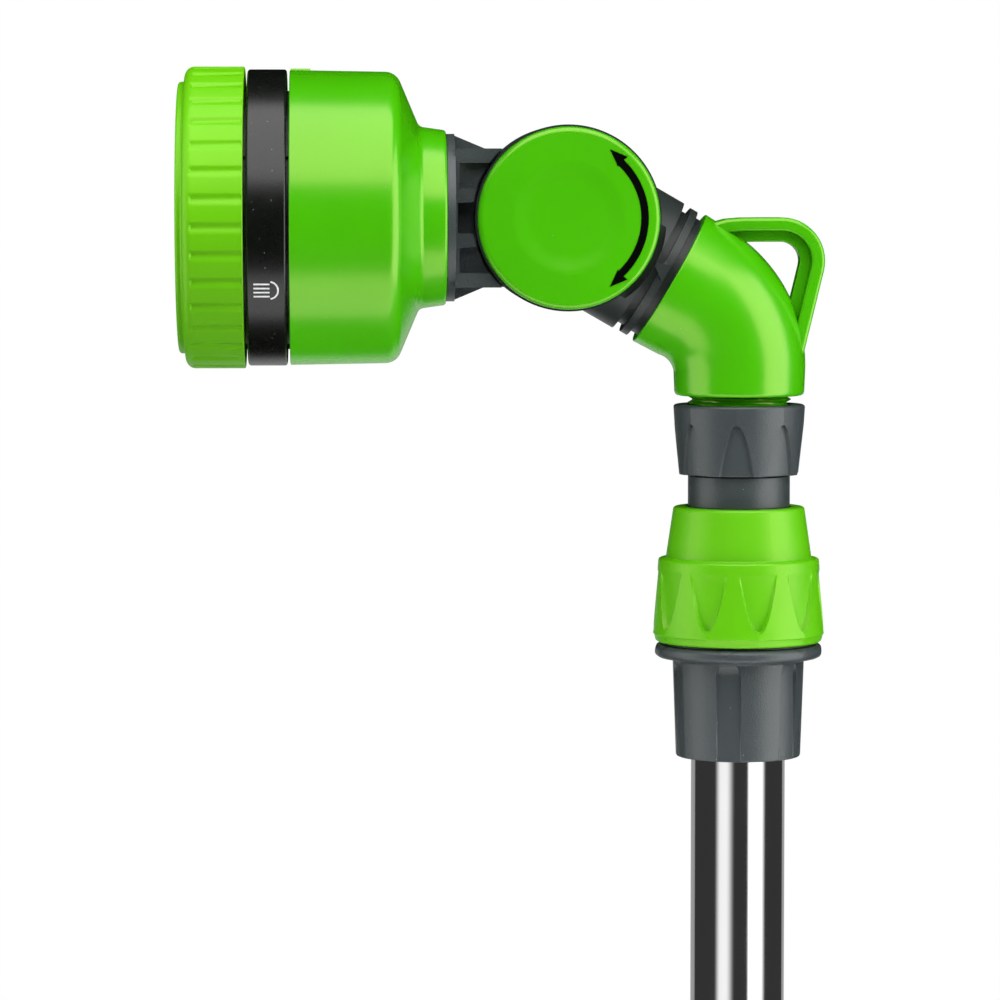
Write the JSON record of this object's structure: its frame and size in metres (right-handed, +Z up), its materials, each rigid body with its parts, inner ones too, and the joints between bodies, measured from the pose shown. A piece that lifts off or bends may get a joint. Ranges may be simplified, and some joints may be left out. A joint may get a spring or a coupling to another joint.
{
  "type": "garden watering lance",
  "caption": "Telescopic watering lance with a tilting spray head, a pattern dial, a hanging loop, a twist lock and a handle with a shut-off lever above the hose inlet.",
  "frame": {"origin": "centre of the hose inlet's end face", "axes": "+Z up the tube, -X the way the spray head points, -Y the side with the printed pivot cap"},
  "size_m": [0.1641, 0.0762, 0.6381],
  "materials": {
    "green_plastic": "satin gloss moulded plastic",
    "light_green_plastic": "satin gloss moulded plastic",
    "graphite_plastic": "satin moulded plastic",
    "black_plastic": "satin",
    "ivory_plastic": "plain",
    "seat_plastic": "waxy",
    "white_print": "pad print",
    "black_print": "pad print",
    "soft_grip": "soft touch",
    "rubber": "plain",
    "polished_tube": "mirror polished",
    "steel": "plain",
    "brass": "turned"
  },
  "bodies": {
    "lance": {"outer_tube": "polished_tube", "lock_body": "graphite_plastic", "lock_ring": "rubber", "tube_gland": "green_plastic", "tube_seal": "rubber", "handle_core": "graphite_plastic", "grip_sleeve": "soft_grip", "valve_body": "green_plastic", "valve_seats": "seat_plastic", "inlet_nipple": "graphite_plastic", "inlet_seal": "rubber", "inlet_strainer": "steel"},
    "slider": {"inner_tube": "polished_tube", "slide_piston": "graphite_plastic", "piston_seals": "rubber", "union_tail": "graphite_plastic", "tail_collar": "graphite_plastic", "union_washer": "rubber"},
    "union_nut": {"union_nut": "graphite_plastic"},
    "arm": {"elbow": "green_plastic", "arm_knuckle": "graphite_plastic", "arm_seal": "rubber", "pivot_pin": "steel", "pin_plug": "steel", "pivot_seals": "rubber", "pivot_end_seals": "rubber", "slip_washers": "ivory_plastic", "pivot_screw": "steel", "pivot_clamp": "steel", "pivot_cap_front": "green_plastic", "pivot_cap_rear": "green_plastic", "pivot_arrow": "black_print"},
    "head": {"head_housing": "green_plastic", "distributor": "ivory_plastic", "distributor_screws": "steel", "port_seal": "rubber", "detent_ball": "steel", "detent_spring": "steel", "neck_nut": "brass", "neck_seal": "rubber", "head_knuckle": "graphite_plastic", "dial_screw": "steel", "dial_washer": "steel"},
    "dial": {"face_plate": "graphite_plastic", "grip_ring": "light_green_plastic", "icon_ring": "black_plastic", "pattern_icons": "white_print", "selector_drum": "graphite_plastic", "spray_divider": "black_plastic", "drum_seal": "rubber"},
    "collet": {"lock_collet": "ivory_plastic"},
    "lock_nut": {"lock_nut": "green_plastic"},
    "valve": {"valve_ball": "steel", "valve_stem": "brass", "stem_seal": "rubber", "valve_lever": "graphite_plastic", "lever_screw": "steel"}
  },
  "joints": [
    {"name": "tube_slide", "type": "slide", "parent": "lance", "child": "slider", "axis": [0, 0, 1], "range_m": [0, 0.28]},
    {"name": "head_swivel", "type": "hinge", "parent": "slider", "child": "arm", "pos_m": [0, 0, 0.545], "axis": [0, 0, 1], "continuous": true},
    {"name": "union_nut_turn", "type": "hinge", "parent": "slider", "child": "union_nut", "pos_m": [0, 0, 0.543], "axis": [0, 0, 1], "continuous": true},
    {"name": "head_tilt", "type": "hinge", "parent": "arm", "child": "head", "pos_m": [-0.04434, 0, 0.6], "axis": [0, 1, 0], "range_deg": [-50, 110]},
    {"name": "pattern_dial", "type": "hinge", "parent": "head", "child": "dial", "pos_m": [-0.12, 0, 0.6], "axis": [1, 0, 0], "continuous": true},
    {"name": "lock_release", "type": "slide", "parent": "lance", "child": "collet", "axis": [0, 0, 1], "range_m": [0, 0.001]},
    {"name": "lock_twist", "type": "hinge", "parent": "collet", "child": "lock_nut", "pos_m": [0, 0, 0.51], "axis": [0, 0, 1], "range_deg": [0, 120]},
    {"name": "valve_turn", "type": "hinge", "parent": "lance", "child": "valve", "pos_m": [0, 0, 0.046], "axis": [0, -1, 0], "range_deg": [0, 90]}
  ],
  "couplings": [
    {"joint": "lock_twist", "follows": "lock_release", "rad_per_m": 2094.4}
  ]
}
